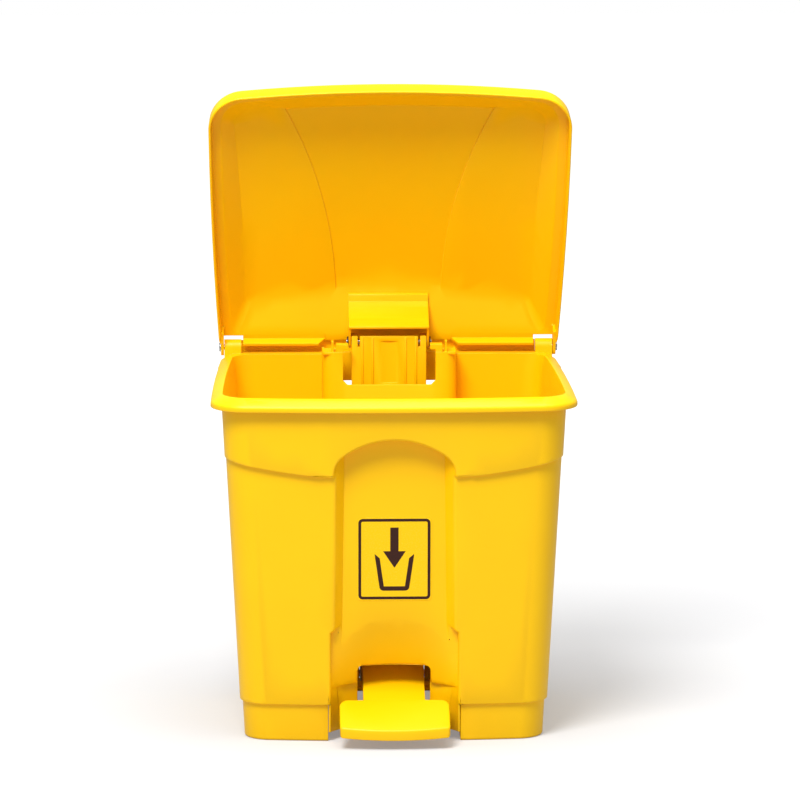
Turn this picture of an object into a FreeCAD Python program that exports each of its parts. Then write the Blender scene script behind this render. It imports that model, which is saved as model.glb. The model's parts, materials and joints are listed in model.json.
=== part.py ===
import FreeCAD, Part
import math
import os

# Foot-operated ward bin of about thirty litres, moulded in yellow plastic.
# The body is one open-topped shell on two hollow feet.  A pedal lever rocks on a steel axle
# in the channel between the feet, and its rear end lifts a push rod that runs up a column
# at the back.  The rod head lifts the lid through a bracket under the lid.
# Frame: origin on the floor under the middle, +X to the bin's left as it faces -Y, +Z up.
# The parts are drawn with the pedal pressed and the lid open.

V = FreeCAD.Vector
X_AXIS = V(1, 0, 0)
Y_AXIS = V(0, 1, 0)
Z_AXIS = V(0, 0, 1)

# --- rim and lip -------------------------------------------------------------------------
rim_height = 390.0          # top of the rim above the floor
rim_front = -180.0          # lip at the middle of the front
rim_rear = 170.0            # lip at the back
rim_half_front = 203.0      # half width over the lip at the front corners
rim_half_rear = rim_half_front - 13.0   # and at the back corners
front_bow = 12.0            # how far the front edge bulges past its corners
side_bow = 2.5
front_corner_radius = 42.0
rear_corner_radius = 26.0
body_corner_radius = 34.0   # front corners of the body under the lip
lip_height = 14.0           # drop of the turned-down lip
lip_band = 6.0              # upright part of the lip
lip_slope_width = 13.0      # width of the sloping strip around the opening
lip_thickness = 2.4
lip_overhang = 13.75        # lip past the body at front and sides
rear_overhang = 32.0        # flange past the body at the back, which carries the hinge

# --- body shell --------------------------------------------------------------------------
wall = 2.6
draft_angle = 3.0           # degrees, on the front and sides
rear_draft_angle = 1.0      # degrees, on the back
foot_height = 42.0
foot_inset = 3.0            # step in at the top of the feet
foot_edge_round = 3.0
band_low_centre = rim_height - 92.0     # lower edge of the raised band at the middle
band_low_side = rim_height - 71.0       # and at the sides
band_proud_front = 4.5
band_proud_side = 1.4
recess_half_top = 66.0      # centre recess in the front, under its arch
recess_half_bottom = 70.5
recess_depth = 15.0
recess_floor_inset = 11.0   # how much narrower the recess is at its floor
recess_arch_top = rim_height - 46.5
recess_arch_radius = 94.0
recess_shoulder_radius = 26.0   # where the arch turns down into the sides
recess_neck_half = 66.8     # half width of the arch where it cuts the band
niche_top = 145.0           # scooped niche over the pedal
niche_bottom = 60.0
niche_arch_rise = 21.0
niche_depth = 34.0
toe_setback = 6.0
curtain_bottom = 10.0       # lower edge of the wall that hangs between the feet
channel_half = 73.5         # channel between the feet
channel_top = 92.0
rear_bar_depth = 12.0       # foot bar that joins the two feet at the back
rear_bar_height = 14.0
slot_half = 40.4            # opening that the pedal arm passes through
slot_low = 36.0
slot_high = 81.0
slot_corner = 5.0

# --- rear ledge, rod column and hinge posts -----------------------------------------------
bridge_front = rim_rear - 20.0          # bar of the flange behind the rod column
bridge_web_drop = 19.0      # web that hangs under the bar's front edge
rear_wall_height = 12.0     # upstand behind the ledge
rear_wall_thickness = 3.5
rear_wall_inset = 7.0       # upstand in from the back edge
link_radius = 28.0          # link pin from the hinge axis
column_front = rim_rear - link_radius - 44.0    # face of the rod column towards the bin
column_rise = 8.0           # column above the rim
column_corner = 13.0
column_draft = 12.0         # how much further forward the column stands at the bottom
cutout_half = 52.5          # cut in the column that the lift bracket swings through
cutout_low = rim_height - 29.0
cutout_chamfer = 5.0
guide_block_rise = 8.5      # blocks beside the cut
guide_block_width = 14.0
guide_block_depth = 16.0
guide_block_lap = 6.0       # how far the blocks reach over the cut
guide_block_foot = 6.0      # and down behind the rim
side_rib_half = 64.5        # thin ribs beside the blocks
side_rib_thickness = 2.5
side_rib_rise = 20.0

hinge_y = rim_rear - 18.0
hinge_z = rim_height + 6.0
post_radius = 9.0
post_inner = rim_half_rear - 22.0       # inner face of the posts, from the middle
post_outer = rim_half_rear - 2.6
post_foot = 8.0             # how far the posts run down into the rim
cheek_gap = 0.5             # between a post and the lid's cheek beside it

# --- lid, as drawn closed before it is turned open ----------------------------------------
lid_open_angle = 70.0
lid_overlap = 1.6           # lid skirt past the lip
lid_wall = 2.6
cheek_thickness = 3.4       # ears of the lid beside the posts
lid_gap = 1.8               # skirt above the lip's upright band when closed
skirt_height = 22.0
skirt_draft = 1.2
shoulder_step = 8.5         # level step between skirt and shoulder
shoulder_height = 10.0
shoulder_width = 12.0
crown_rise = 13.0
crown_radius = 2260.0
crown_corners = (6.0, 4.0)  # corner radii where the shoulder would end above the crown
rear_shoulder_step = 1.0
rear_shoulder_width = 24.0
past_crown = 4.0            # shoulder drawn this many times its height, then cut off by the crown
cheek_reach = 20.0          # lid's cheek ahead of its back skirt
cheek_relief = 6.0          # skirt cut away in front of the post's outer side
brace_lap = 3.0
notch_depth = 12.0
lid_rear = rim_rear - 21.5              # outer face of the lid's back skirt
lid_corner_radius = 40.0
lid_rear_corner_radius = 12.0
rear_skirt_low = rim_height + 1.5
rear_notch_half = 72.0
rear_notch_slope = 9.0
rear_notch_height = 12.0
panel_step = 1.6            # raised middle panel of the lid between its two creases
panel_half_rear = 64.0
panel_half_front = 180.0    # where the creases would be this far past the lid's front
panel_ahead = 60.0
panel_behind = 20.0
panel_waist = 84.0
panel_waist_y = -53.0

# --- lift bracket and its pin ---------------------------------------------------------------
bracket_half = 45.8
bracket_wall = 3.0
bracket_gap = 0.5           # each side, between bracket and rod head
hood_end_reach = 42.0       # hood end in front of the hinge, lid closed
hood_end_drop = 29.0        # and below it
hood_root = 16.0            # hood's root at the lid, in front of its end
hood_bulge = 15.0           # and how much of that is left halfway down
hood_bulge_height = 32.0
ear_lap = 1.0
ear_shoulder = 30.0
ear_back = 12.0
flange_front = 14.0
flange_back = 6.0
flange_drop = 30.0
link_open_angle = 21.0      # link pin above the hinge axis, lid open
pin_radius = 3.0
ear_radius = 7.0

bracket_screw_x = 30.0
bracket_screw_y = hinge_y - 33.0
screw_bite = 2.0            # how far the bracket screws go into the lid's sloping shoulder

# --- push rod ------------------------------------------------------------------------------
rod_head_half = 42.6
rod_head_rise = 4.5         # head above the pin slot
rod_plate = 3.2
rod_head_depth = 21.0
rod_head_height = 62.0
rod_corner = 3.0
head_lug = 7.0              # side lugs that hold the link pin
head_lug_drop = 12.0
head_groove = 2.4           # grooves beside the lugs
head_groove_depth = 12.5
head_rail_width = 2.6
head_rail_proud = 1.3
head_rail_outer = 29.2
head_rail_inner = 17.5
dish_radius = 40.0          # hollow up the middle of the head
dish_depth = 1.4
dish_half = 17.0
dish_end = 6.0
shank_half = 22.0
shank_depth = 14.0
pin_slot_clearance = 0.35
pin_slot_lost = 1.5         # lost motion that the straight slot takes up
fork_half = 15.0
fork_wall = 4.0
fork_reach = 9.0            # fork past its pin, down and back
fork_rise = 16.0            # shank's lower end above the pin
shank_lap = 8.0             # shank into the head, and solid end of its pocket

shank_front = column_front + 18.0       # face of the rod towards the column wall
guide_rib_x = 12.0          # ribs inside the column that the rod slides on
guide_rib_thickness = 3.0
guide_rib_low = 130.0
guide_rib_high = rim_height - 60.0
slide_clearance = 0.3
strap_heights = (120.0, rim_height - 96.0)
strap_height = 24.0
strap_thickness = 3.0
strap_corner = 3.0
strap_pad_gap = 0.4         # rod to the strap's pad
strap_pad_inset = 3.0
strap_screw_inset = 8.0     # screws from the strap's ends and from the channel's wall
screw_radius = 1.8
screw_head_radius = 3.6
screw_head = 2.2
screw_head_round = 1.0
screw_slot = 1.0
screw_past_wall = 1.5

# --- pedal lever ------------------------------------------------------------------------------
axle_y = -15.0
axle_z = 50.0
axle_radius = 4.0
lever_rear_reach = 142.0    # axle to the push rod's pin
pedal_half = 61.0
pedal_front = -190.0        # front edge of the tread, pedal pressed
pedal_front_z = 22.0        # top of the tread at its front edge
tread_length = 50.0
tread_slope = 26.0          # degrees, pedal pressed
tread_lip = 12.0
tread_corner = 10.0
tread_bow = 5.0             # front edge of the tread, bulging
tread_wall = 3.5
arm_half = 34.3
arm_plate = 4.0
arm_skirt = 10.0
slot_arm_y = -108.0         # knee of the arm in the slot, pedal pressed
slot_arm_z = 56.0
hump_y = -64.0              # highest point of the arm, behind the slot
hump_z = 76.0
gusset_reach = 60.0
boss_radius = 9.0
bush_wall = 1.5
bush_length = 12.0
rear_half = 9.0
saddle_inner = 37.0         # ribs that carry the axle
saddle_thickness = 6.0
saddle_radius = 9.0
pin_chamfer = 0.6
clip_thickness = 1.5
clip_gap = 0.2
pin_past_clip = 1.3
hinge_pin_short = 1.0       # pin's end inside the post's inner face
hinge_pin_gap = 0.3
hinge_pin_head = 1.8
hinge_pin_shoulder = 2.2
hinge_pin_round = 1.0
running_clearance = 0.05

# --- sticker -----------------------------------------------------------------------------------
label_width = 83.0
label_height = 95.0
label_centre_z = 206.0
label_thickness = 0.3
label_corner = 5.0

OVER = 2.0                  # how far cutters run past what they cut
WIDE = 250.0                # further out than any part of the bin
TALL = 600.0                # higher than the closed bin


# === plain helpers ============================================================================
def tangent(degrees):
    return math.tan(math.radians(degrees))


def box(x0, x1, y0, y1, z0, z1):
    return Part.makeBox(x1 - x0, y1 - y0, z1 - z0, V(x0, y0, z0))


def rod_x(radius, x0, x1, y, z):
    return Part.makeCylinder(radius, x1 - x0, V(x0, y, z), X_AXIS)


def polygon(points):
    return Part.Face(Part.makePolygon(points + [points[0]]))


def mirrored(shape):
    return shape.mirror(V(0, 0, 0), X_AXIS)


def both_sides(shape):
    return shape.fuse(mirrored(shape))


def fuse_all(shapes):
    return shapes[0].multiFuse(shapes[1:]).removeSplitter()


def edges_where(shape, test):
    return [edge for edge in shape.Edges if test(edge)]


def ring_wire(ring, z):
    """Outline of the bin at one height: bowed front and sides, straight back, sharp corners."""
    front, rear, half_front, half_rear = ring
    corner_y = front + front_bow
    front_left = V(-half_front, corner_y, z)
    front_right = V(half_front, corner_y, z)
    rear_left = V(-half_rear, rear, z)
    rear_right = V(half_rear, rear, z)
    side_x = (half_front + half_rear) / 2 + side_bow
    side_y = (corner_y + rear) / 2
    return Part.Wire([
        Part.Arc(front_left, V(0, front, z), front_right).toShape(),
        Part.Arc(front_right, V(side_x, side_y, z), rear_right).toShape(),
        Part.LineSegment(rear_right, rear_left).toShape(),
        Part.Arc(rear_left, V(-side_x, side_y, z), front_left).toShape(),
    ])


def inner_corners(corners, by):
    return (corners[0] - by, corners[1] - by)


def grown(ring, by, by_rear=None):
    """The same outline moved outwards all round."""
    front, rear, half_front, half_rear = ring
    return (front - by, rear + (by if by_rear is None else by_rear), half_front + by, half_rear + by)


def rounded_wire(ring, z, radius_front, radius_rear):
    """The outline at one height with its four corners rounded."""
    block = Part.Face(ring_wire(ring, z)).extrude(Z_AXIS)
    upright = edges_where(block, lambda edge: edge.BoundBox.ZLength > 0.5)
    middle = (ring[0] + ring[1]) / 2
    block = block.makeFillet(radius_front, [edge for edge in upright if edge.CenterOfMass.y < middle])
    upright = edges_where(block, lambda edge: edge.BoundBox.ZLength > 0.5)
    behind = ring[1] - 0.01
    block = block.makeFillet(radius_rear, [edge for edge in upright if edge.CenterOfMass.y > behind])
    faces = [face for face in block.Faces if face.BoundBox.ZMax < z + 0.001]
    return faces[0].OuterWire


def tub(low_ring, low_z, high_ring, high_z, radii_low, radii_high=None):
    """Solid between two rounded outlines; radii are (front, rear)."""
    radii_high = radii_high or radii_low
    low = rounded_wire(low_ring, low_z, *radii_low)
    high = rounded_wire(high_ring, high_z, *radii_high)
    return Part.makeLoft([low, high], True, True)


# === outlines =================================================================================
rim_ring = (rim_front, rim_rear, rim_half_front, rim_half_rear)
lip_low = rim_height - lip_height
lip_corners = (front_corner_radius, rear_corner_radius)
body_corners = (body_corner_radius, rear_corner_radius)


def body_ring(z, inset=0.0):
    """Outer outline of the tapered body, or one inset from it."""
    drop = lip_low - z
    narrowing = drop * tangent(draft_angle)
    rear_narrowing = drop * tangent(rear_draft_angle)
    return grown(rim_ring, -lip_overhang - narrowing - inset, -rear_overhang - rear_narrowing - inset)


# === body shell ===============================================================================
def body_outer():
    """Tapered body with its two-step base and the raised band under the lip."""
    top = rim_height - lip_thickness
    tapered = tub(body_ring(foot_height), foot_height, body_ring(top), top, body_corners)
    base = tub(body_ring(0, foot_inset), 0, body_ring(foot_height, foot_inset), foot_height,
               inner_corners(body_corners, foot_inset))
    floor_edges = edges_where(base, lambda edge: edge.BoundBox.ZMax < 0.01)
    base = base.makeFillet(foot_edge_round, floor_edges)

    def band_ring(z):
        front, rear, half_front, half_rear = body_ring(z)
        return (front - band_proud_front, rear, half_front + band_proud_side, half_rear + band_proud_side)

    band_low = band_low_centre - OVER
    band = tub(band_ring(band_low), band_low, band_ring(top), top, body_corners)
    rise = band_low_side - band_low_centre
    side = body_ring(band_low_side)[2]
    sweep = (side ** 2 + rise ** 2) / (2 * rise)
    above = Part.makeCylinder(sweep, 2 * WIDE, V(0, -WIDE, band_low_centre + sweep), Y_AXIS)
    return fuse_all([tapered, base, band.common(above)])


def arch_outline(offset):
    """Front view of the recess's top: an arch whose ends turn down into upright sides."""
    radius = recess_arch_radius + offset
    turn = recess_shoulder_radius + offset
    half = recess_neck_half + offset
    centre_z = recess_arch_top - recess_arch_radius
    turn_x = half - turn
    turn_z = centre_z + math.sqrt((radius - turn) ** 2 - turn_x ** 2)
    along = V(turn_x, 0, turn_z - centre_z).normalize()
    join = V(0, 0, centre_z) + along * radius
    middle = V(turn_x, 0, turn_z) + (along + X_AXIS).normalize() * turn
    low = band_low_centre - OVER

    def other(point):
        return V(-point.x, 0, point.z)

    side_top = V(half, 0, turn_z)
    foot = V(half, 0, low)
    curves = [Part.LineSegment(foot, side_top), Part.Arc(side_top, middle, join),
              Part.Arc(join, V(0, 0, centre_z + radius), other(join)),
              Part.Arc(other(join), other(middle), other(side_top)),
              Part.LineSegment(other(side_top), other(foot)), Part.LineSegment(other(foot), foot)]
    return Part.Face(Part.Wire([curve.toShape() for curve in curves]))


def recess_cutter(offset):
    """Tapered recess up the middle of the front, closed by an arch."""
    low, high = -OVER, recess_arch_top + front_corner_radius

    def floor_y(z):
        return body_ring(z)[0] + recess_depth + offset

    def half(z):
        share = z / recess_arch_top
        return recess_half_bottom + (recess_half_top - recess_half_bottom) * share + offset

    def section(z):
        back = floor_y(z)
        mouth = body_ring(z)[0]
        floor_half = half(z) - recess_floor_inset
        flare = recess_floor_inset * (mouth + WIDE) / recess_depth
        points = [V(-floor_half, back, z), V(-half(z) - flare, -WIDE, z),
                  V(half(z) + flare, -WIDE, z), V(floor_half, back, z)]
        return Part.makePolygon(points + [points[0]])

    prism = Part.makeLoft([section(low), section(high)], True, True)
    arch = arch_outline(offset)
    arch.translate(V(0, -WIDE, 0))
    below = box(-WIDE, WIDE, -WIDE, 0, low, band_low_centre)
    return prism.common(arch.extrude(V(0, WIDE, 0)).fuse(below))


def scoop_solid(offset, low):
    """Space in front of the niche wall: a ruled scoop over an upright curved wall."""
    half = recess_half_bottom + offset
    panel_y = body_ring(niche_top)[0] + recess_depth - OVER
    top = niche_top + offset
    side_top = niche_top - niche_arch_rise + offset
    deep = panel_y + OVER + niche_depth + offset
    arch = Part.Arc(V(-half, panel_y, side_top), V(0, panel_y, top), V(half, panel_y, side_top)).toShape()
    sweep = Part.Arc(V(-half, panel_y, niche_bottom), V(0, deep, niche_bottom),
                     V(half, panel_y, niche_bottom)).toShape()
    scoop = Part.makeRuledSurface(arch, sweep)
    sides = [Part.LineSegment(V(s * half, panel_y, niche_bottom), V(s * half, panel_y, side_top)).toShape()
             for s in (-1, 1)]
    chord = Part.LineSegment(V(-half, panel_y, niche_bottom), V(half, panel_y, niche_bottom)).toShape()
    front = Part.Face(Part.Wire(Part.__sortEdges__([arch, sides[0], sides[1], chord])))
    under = Part.Face(Part.Wire([sweep, chord]))
    shell = Part.Shell([scoop, front, under])
    shell.sewShape()
    upper = Part.Solid(shell)
    if upper.Volume < 0:
        upper.reverse()
    toe_deep = deep + toe_setback
    toe_sweep = Part.Arc(V(-half, panel_y, niche_bottom), V(0, toe_deep, niche_bottom),
                         V(half, panel_y, niche_bottom)).toShape()
    toe_face = Part.Face(Part.Wire([toe_sweep, chord]))
    toe = toe_face.extrude(V(0, 0, low - niche_bottom))
    mouth = front.extrude(V(0, -WIDE, 0))
    slab = box(-half, half, -WIDE, panel_y, low, niche_bottom)
    return fuse_all([upper, toe, mouth, slab])


def column_solid(offset, low, high):
    """Rod column: everything behind its front face, which leans forward towards the bottom."""
    half = channel_half + offset
    lean = column_draft / (rim_height - channel_top)

    def section(z):
        front = column_front + wall - offset - lean * (rim_height - z)
        points = [V(-half, front, z), V(half, front, z), V(half, WIDE, z), V(-half, WIDE, z)]
        return Part.makePolygon(points + [points[0]])

    column = Part.makeLoft([section(low), section(high)], True, True)

    def front_upright(edge):
        tall = edge.BoundBox.ZLength > (high - low) / 2
        return tall and edge.CenterOfMass.y < column_front + wall

    return column.makeFillet(column_corner - wall + offset, edges_where(column, front_upright))


def channel_solid(offset):
    """Space for the pedal lever between the feet, closed at the back by the foot bar."""
    half = channel_half + offset
    front = body_ring(0)[0]
    bar_front = body_ring(0)[1] - rear_bar_depth
    under = box(-half, half, front, bar_front, -OVER, channel_top + offset)
    over_bar = box(-half, half, bar_front - OVER, WIDE, rear_bar_height, channel_top + offset)
    return under.fuse(over_bar).cut(scoop_solid(wall - offset, -2 * OVER))


def body_cavity():
    """Inside of the bin, open at the top."""
    foot_floor = wall
    step = foot_height + wall
    corners = inner_corners(body_corners, wall)
    feet = tub(body_ring(foot_floor, foot_inset + wall), foot_floor,
               body_ring(step, foot_inset + wall), step,
               inner_corners(corners, foot_inset))
    floor_edges = edges_where(feet, lambda edge: edge.BoundBox.ZMax < foot_floor + 0.01)
    feet = feet.makeFillet(foot_edge_round, floor_edges)
    middle = tub(body_ring(step, wall), step, body_ring(lip_low, wall), lip_low, corners)
    mouth_ring = grown(rim_ring, -lip_slope_width, -rear_overhang - wall)
    mouth = tub(body_ring(lip_low, wall), lip_low, mouth_ring, rim_height + OVER, corners)
    cavity = fuse_all([feet, middle, mouth])
    cavity = cavity.cut(recess_cutter(wall)).cut(scoop_solid(wall, -OVER))
    cavity = cavity.cut(channel_solid(wall))
    return cavity.cut(column_solid(wall, channel_top - OVER, rim_height + 2 * OVER))


def lip_solid(body):
    """Turned-down lip with its sloping strip, hollow underneath."""
    slope_low = lip_low + lip_band
    inner_ring = grown(rim_ring, -lip_slope_width)
    slope_corners = inner_corners(lip_corners, lip_slope_width)
    top = tub(rim_ring, slope_low, inner_ring, rim_height, lip_corners, slope_corners)
    band = tub(rim_ring, lip_low, rim_ring, slope_low, lip_corners)
    under_ring = grown(rim_ring, -lip_thickness)
    under_corners = inner_corners(lip_corners, lip_thickness)
    under_low = tub(under_ring, lip_low - OVER, under_ring, slope_low - lip_thickness / 2, under_corners)
    under_high = tub(under_ring, slope_low - lip_thickness / 2, inner_ring, rim_height - lip_thickness,
                     under_corners, slope_corners)
    under = under_low.fuse(under_high).cut(body)
    return fuse_all([top, band]).cut(under)


def hinge_posts():
    base = box(post_inner, post_outer, hinge_y - post_radius, hinge_y + post_radius,
               rim_height - post_foot, hinge_z)
    post = base.fuse(rod_x(post_radius, post_inner, post_outer, hinge_y, hinge_z))
    post = post.cut(rod_x(pin_radius, post_inner - OVER, post_outer + OVER, hinge_y, hinge_z))
    return both_sides(post)


def column_top():
    """Column above the rim, its cut for the bracket, the guide blocks and thin ribs beside the cut."""
    high = rim_height + column_rise
    walls = column_solid(wall, lip_low, high).cut(column_solid(0, lip_low - OVER, high + OVER))
    walls = walls.common(box(-WIDE, WIDE, 0, rim_rear - rear_overhang, lip_low, high))
    block_y = column_front + wall - OVER
    block_back = block_y + guide_block_depth
    block_x = cutout_half - guide_block_lap
    block_top = high + guide_block_rise
    block = box(block_x, block_x + guide_block_width, block_y, block_back,
                rim_height - guide_block_foot, block_top)
    block = block.cut(box(0, cutout_half, 0, WIDE, 0, block_top - 2 * wall))
    rib_x = side_rib_half - side_rib_thickness / 2
    rib = box(rib_x, rib_x + side_rib_thickness, block_y + wall, block_back, high - 2 * OVER,
              rim_height + side_rib_rise)
    shelf = box(cutout_half, channel_half + OVER, block_y, block_back + guide_block_depth,
                high - wall, high)
    return [walls, both_sides(block), both_sides(rib), both_sides(shelf)]


def bracket_cutout():
    """Cut through the column's face, with chamfered lower corners, up to the blocks' laps."""
    high = rim_height + column_rise + guide_block_rise - 2 * wall
    low_half = cutout_half - cutout_chamfer
    profile = [V(-low_half, 0, cutout_low), V(low_half, 0, cutout_low),
               V(cutout_half, 0, cutout_low + cutout_chamfer), V(cutout_half, 0, high),
               V(-cutout_half, 0, high), V(-cutout_half, 0, cutout_low + cutout_chamfer)]
    face = polygon(profile)
    face.translate(V(0, column_front - column_draft, 0))
    return face.extrude(V(0, column_draft + guide_block_depth + OVER, 0))


def pedal_slot():
    slot = box(-slot_half, slot_half, -WIDE, axle_y - 3 * saddle_radius, slot_low, slot_high)
    return slot.makeFillet(slot_corner, edges_where(slot, lambda edge: edge.BoundBox.YLength > OVER))


def strap_screw_points(strap_z):
    return [(side * (channel_half + wall + strap_screw_inset), strap_z) for side in (-1, 1)]


def rear_face(z):
    return body_ring(z)[1]


def rod_guides():
    """Two upright ribs inside the column that the rod slides on."""
    space = column_solid(OVER, channel_top + OVER, guide_rib_high + OVER)
    ribs = [box(side * guide_rib_x - guide_rib_thickness / 2, side * guide_rib_x + guide_rib_thickness / 2,
                column_front - column_draft, shank_front - slide_clearance, guide_rib_low, guide_rib_high)
            for side in (-1, 1)]
    return [rib.common(space) for rib in ribs]


def axle_saddle():
    """Rib under the channel's roof that carries one end of the pedal axle."""
    outer = saddle_inner + saddle_thickness
    hanger = box(saddle_inner, outer, axle_y - saddle_radius, axle_y + saddle_radius,
                 axle_z, channel_top + wall / 2)
    return hanger.fuse(rod_x(saddle_radius, saddle_inner, outer, axle_y, axle_z))


def body_shell():
    solid = body_outer()
    lip = lip_solid(solid)
    solid = solid.fuse(lip).removeSplitter()
    solid = solid.cut(recess_cutter(0)).cut(scoop_solid(0, -OVER)).cut(channel_solid(0))
    below_bridge = column_solid(0, channel_top - OVER, lip_low)
    ahead_of_bridge = box(-WIDE, WIDE, 0, bridge_front, 0, TALL)
    through_flange = column_solid(0, lip_low - OVER, rim_height + OVER).common(ahead_of_bridge)
    solid = solid.cut(below_bridge).cut(through_flange).cut(body_cavity())
    wall_back = rim_rear - rear_wall_inset + rear_wall_thickness
    upstand = box(-post_inner, post_inner, wall_back - rear_wall_thickness, wall_back,
                  lip_low + lip_band, rim_height + rear_wall_height)
    bridge_web = box(-channel_half, channel_half, bridge_front, bridge_front + wall,
                     lip_low - bridge_web_drop, rim_height - lip_thickness / 2)
    pieces = [solid, hinge_posts(), upstand, bridge_web, both_sides(axle_saddle())]
    solid = fuse_all(pieces + column_top() + rod_guides())
    solid = solid.cut(bracket_cutout()).cut(pedal_slot())
    solid = solid.cut(box(-channel_half, channel_half, -WIDE, 0, -OVER, curtain_bottom))
    axle_end = saddle_inner + saddle_thickness + OVER
    holes = [rod_x(axle_radius, -axle_end, axle_end, axle_y, axle_z)]
    for strap_z in strap_heights:
        for x, z in strap_screw_points(strap_z):
            start = V(x, rear_face(z) - wall - OVER, z)
            radius = screw_radius + running_clearance
            holes.append(Part.makeCylinder(radius, wall + 2 * OVER, start, Y_AXIS))
    return solid.cut(Part.makeCompound(holes))


# === lid ======================================================================================
lid_low = lip_low + lip_band + lid_gap
lid_top = lid_low + skirt_height
crown_top = lid_top + shoulder_height + crown_rise
lid_corners = (lid_corner_radius, lid_rear_corner_radius)
cheek_inner = post_outer + cheek_gap
cheek_outer = cheek_inner + cheek_thickness


def rim_half_at(y):
    """Half width of the rim this far back, on its bowed side."""
    front_y = rim_front + front_bow
    share = (y - front_y) / (rim_rear - front_y)
    chord = rim_half_front + (rim_half_rear - rim_half_front) * share
    return chord + 4 * side_bow * share * (1 - share)


def lid_ring(outset):
    grow = lid_overlap + outset
    rear_half = rim_half_at(lid_rear) + grow
    return (rim_front - grow, lid_rear + min(outset, 0.0), rim_half_front + grow, rear_half)


def crown_ball(rise, offset):
    """Large ball whose top is the crown; its poles and seam are turned away from the lid."""
    ball = Part.makeSphere(crown_radius)
    ball.rotate(V(0, 0, 0), Y_AXIS, 90)
    ball.translate(V(0, 0, crown_top + rise - offset - crown_radius))
    return ball


def middle_panel(offset):
    """Upright prism over the lid's middle panel, between the two creases."""
    front_y, rear_y = rim_front - panel_ahead, lid_rear + panel_behind
    right = Part.Arc(V(panel_half_front + offset, front_y, 0), V(panel_waist + offset, panel_waist_y, 0),
                     V(panel_half_rear + offset, rear_y, 0))
    left = Part.Arc(V(-panel_half_rear - offset, rear_y, 0), V(-panel_waist - offset, panel_waist_y, 0),
                    V(-panel_half_front - offset, front_y, 0))
    back = Part.LineSegment(right.EndPoint, left.StartPoint)
    front = Part.LineSegment(left.EndPoint, right.StartPoint)
    face = Part.Face(Part.Wire([edge.toShape() for edge in (right, back, left, front)]))
    return face.extrude(V(0, 0, TALL))


def lid_form(offset):
    """Filled form of the closed lid, or of its inside."""
    low = lid_low - (OVER if offset else 0.0)
    top = lid_top - offset
    skirt = tub(grown(lid_ring(0), -offset), low, grown(lid_ring(-skirt_draft), -offset), top,
                inner_corners(lid_corners, offset))
    high = top + shoulder_height * past_crown
    low_ring = grown(lid_ring(-skirt_draft), -shoulder_step - offset, -rear_shoulder_step - offset)
    high_ring = grown(low_ring, -shoulder_width * past_crown, -rear_shoulder_width * past_crown)
    corners = inner_corners(lid_corners, shoulder_step + offset)
    low_corners = (corners[0], lid_rear_corner_radius - offset)
    shoulder = tub(low_ring, top - OVER, high_ring, high, low_corners, crown_corners)
    plain = shoulder.common(crown_ball(0, offset))
    raised = shoulder.common(crown_ball(panel_step, offset)).common(middle_panel(-offset / 2))
    return fuse_all([skirt, plain, raised])


def skirt_notches():
    """Cuts in the lid's back skirt: its lower edge, the mechanism notch and one round each post."""
    front_y = lid_rear - notch_depth
    back_y = lid_rear + OVER
    lower = box(-post_outer, post_outer, front_y, back_y, 0, rear_skirt_low)
    corners = box(-WIDE, WIDE, front_y - OVER, back_y, 0, hinge_z - post_radius - cheek_gap)
    half = rear_notch_half
    high = rear_skirt_low + rear_notch_height
    low = rear_skirt_low - OVER
    profile = [V(-half - rear_notch_slope, front_y, low), V(-half, front_y, high),
               V(half, front_y, high), V(half + rear_notch_slope, front_y, low)]
    middle = polygon(profile).extrude(V(0, back_y - front_y, 0))
    around_post = box(post_inner - OVER, cheek_inner, hinge_y - post_radius - OVER, back_y,
                      0, hinge_z + post_radius + OVER)
    return [lower, corners, middle, both_sides(around_post)]


def hinge_cheek():
    """Ear of the lid beside one post, braced to the back skirt and bored for the hinge pin."""
    round_end = rod_x(post_radius + cheek_gap, cheek_inner, cheek_outer, hinge_y, hinge_z)
    web = box(cheek_inner, cheek_outer, lid_rear - cheek_reach, hinge_y, hinge_z - post_radius - cheek_gap,
              lid_top - lid_wall)
    inside_y = lid_rear - brace_lap
    brace = polygon([V(cheek_inner, hinge_y, hinge_z), V(cheek_inner, hinge_y, hinge_z + post_radius),
                     V(cheek_inner, inside_y, lid_top - lid_wall / 2), V(cheek_inner, inside_y, hinge_z)])
    brace = brace.extrude(V(cheek_thickness, 0, 0))
    hole = rod_x(pin_radius + running_clearance, cheek_inner - OVER, cheek_outer + OVER, hinge_y, hinge_z)
    return fuse_all([round_end, web, brace]).cut(hole)


def lid_closed():
    shell = lid_form(0).cut(lid_form(lid_wall))
    for notch in skirt_notches():
        shell = shell.cut(notch)
    beside_post = box(post_outer, WIDE, lid_rear - cheek_relief, WIDE, 0, hinge_z + post_radius)
    shell = shell.cut(both_sides(beside_post))
    shell = fuse_all([shell, both_sides(hinge_cheek())])
    return shell.cut(bracket_screw_holes())


def rear_shoulder_height(y, offset):
    """Height of the lid's sloping rear shoulder, or of a face inside it."""
    foot_y = lid_rear - skirt_draft - rear_shoulder_step - offset
    return lid_top - offset - OVER + (foot_y - y) * tangent(rear_shoulder_angle)


def bracket_screw_holes():
    """Screw holes square to the rear shoulder, blind in the lid."""
    depth = flange_thickness + screw_bite
    return Part.makeCompound([Part.makeCylinder(screw_radius, depth, seat, rear_shoulder_normal)
                              for seat in bracket_screw_seats])


rear_shoulder_rise = shoulder_height * past_crown + OVER
rear_shoulder_run = rear_shoulder_width * past_crown
rear_shoulder_angle = math.degrees(math.atan2(rear_shoulder_rise, rear_shoulder_run))
rear_shoulder_normal = V(0, rear_shoulder_rise, rear_shoulder_run).normalize()
flange_thickness = bracket_wall * (rear_shoulder_normal.y + rear_shoulder_normal.z)
bracket_screw_seats = [V(x, bracket_screw_y, rear_shoulder_height(bracket_screw_y, lid_wall + bracket_wall))
                       for x in (-bracket_screw_x, bracket_screw_x)]


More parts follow.
